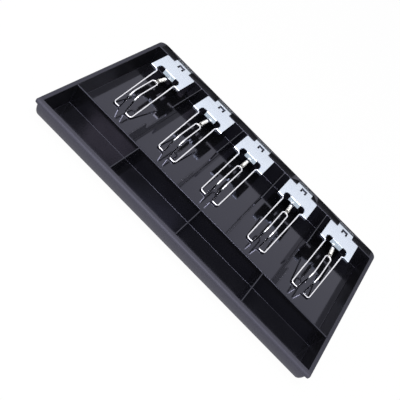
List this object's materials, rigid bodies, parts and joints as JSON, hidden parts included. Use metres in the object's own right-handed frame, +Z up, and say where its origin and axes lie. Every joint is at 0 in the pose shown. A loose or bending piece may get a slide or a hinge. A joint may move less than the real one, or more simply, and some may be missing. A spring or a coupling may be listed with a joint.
{
  "type": "cash drawer insert",
  "caption": "Shallow moulded tray for a cash drawer, with bill compartments under sprung wire clips behind a row of scooped coin compartments.",
  "frame": {"origin": "on the surface that the tray stands on, under the middle of the whole insert", "axes": "+X to the user's right along the front edge, +Y towards the back rim with the clips, +Z up"},
  "size_m": [0.404, 0.2478, 0.0341],
  "materials": {
    "moulded_tray": "injection-moulded black ABS, polished",
    "zinc_plated_bracket": "pressed sheet steel, bright zinc plated",
    "bright_wire": "bent round steel wire, bright nickel plated",
    "spring_wire": "drawn spring steel, lightly plated"
  },
  "bodies": {
    "tray_body": {"tray": "moulded_tray", "bracket_1": "zinc_plated_bracket", "bracket_2": "zinc_plated_bracket", "bracket_3": "zinc_plated_bracket", "bracket_4": "zinc_plated_bracket", "bracket_5": "zinc_plated_bracket"},
    "clip_1": {"wire_clip_1": "bright_wire"},
    "tension_spring_1": {"spring_1": "spring_wire"},
    "clip_2": {"wire_clip_2": "bright_wire"},
    "tension_spring_2": {"spring_2": "spring_wire"},
    "clip_3": {"wire_clip_3": "bright_wire"},
    "tension_spring_3": {"spring_3": "spring_wire"},
    "clip_4": {"wire_clip_4": "bright_wire"},
    "tension_spring_4": {"spring_4": "spring_wire"},
    "clip_5": {"wire_clip_5": "bright_wire"},
    "tension_spring_5": {"spring_5": "spring_wire"}
  },
  "joints": [
    {"name": "clip_1_lift", "type": "hinge", "parent": "tray_body", "child": "clip_1", "pos_m": [-0.15502, 0.06955, 0.0276], "axis": [-1, 0, 0], "range_deg": [0, 60], "stiffness_Nm_per_rad": 0.02, "springref_deg": -45.84},
    {"name": "spring_1_swing", "type": "hinge", "parent": "tray_body", "child": "tension_spring_1", "pos_m": [-0.15502, 0.07555, 0.023], "axis": [-1, 0, 0], "range_deg": [0, 47]},
    {"name": "clip_2_lift", "type": "hinge", "parent": "tray_body", "child": "clip_2", "pos_m": [-0.07896, 0.06955, 0.0276], "axis": [-1, 0, 0], "range_deg": [0, 60], "stiffness_Nm_per_rad": 0.02, "springref_deg": -45.84},
    {"name": "spring_2_swing", "type": "hinge", "parent": "tray_body", "child": "tension_spring_2", "pos_m": [-0.07896, 0.07555, 0.023], "axis": [-1, 0, 0], "range_deg": [0, 47]},
    {"name": "clip_3_lift", "type": "hinge", "parent": "tray_body", "child": "clip_3", "pos_m": [-0.0056, 0.06955, 0.0276], "axis": [-1, 0, 0], "range_deg": [0, 60], "stiffness_Nm_per_rad": 0.02, "springref_deg": -45.84},
    {"name": "spring_3_swing", "type": "hinge", "parent": "tray_body", "child": "tension_spring_3", "pos_m": [-0.0056, 0.07555, 0.023], "axis": [-1, 0, 0], "range_deg": [0, 47]},
    {"name": "clip_4_lift", "type": "hinge", "parent": "tray_body", "child": "clip_4", "pos_m": [0.07386, 0.06955, 0.0276], "axis": [-1, 0, 0], "range_deg": [0, 60], "stiffness_Nm_per_rad": 0.02, "springref_deg": -45.84},
    {"name": "spring_4_swing", "type": "hinge", "parent": "tray_body", "child": "tension_spring_4", "pos_m": [0.07386, 0.07555, 0.023], "axis": [-1, 0, 0], "range_deg": [0, 47]},
    {"name": "clip_5_lift", "type": "hinge", "parent": "tray_body", "child": "clip_5", "pos_m": [0.14942, 0.06955, 0.0276], "axis": [-1, 0, 0], "range_deg": [0, 60], "stiffness_Nm_per_rad": 0.02, "springref_deg": -45.84},
    {"name": "spring_5_swing", "type": "hinge", "parent": "tray_body", "child": "tension_spring_5", "pos_m": [0.14942, 0.07555, 0.023], "axis": [-1, 0, 0], "range_deg": [0, 47]}
  ],
  "couplings": [
    {"joint": "spring_1_swing", "follows": "clip_1_lift", "ratio": 0.782},
    {"joint": "spring_2_swing", "follows": "clip_2_lift", "ratio": 0.782},
    {"joint": "spring_3_swing", "follows": "clip_3_lift", "ratio": 0.782},
    {"joint": "spring_4_swing", "follows": "clip_4_lift", "ratio": 0.782},
    {"joint": "spring_5_swing", "follows": "clip_5_lift", "ratio": 0.782}
  ]
}
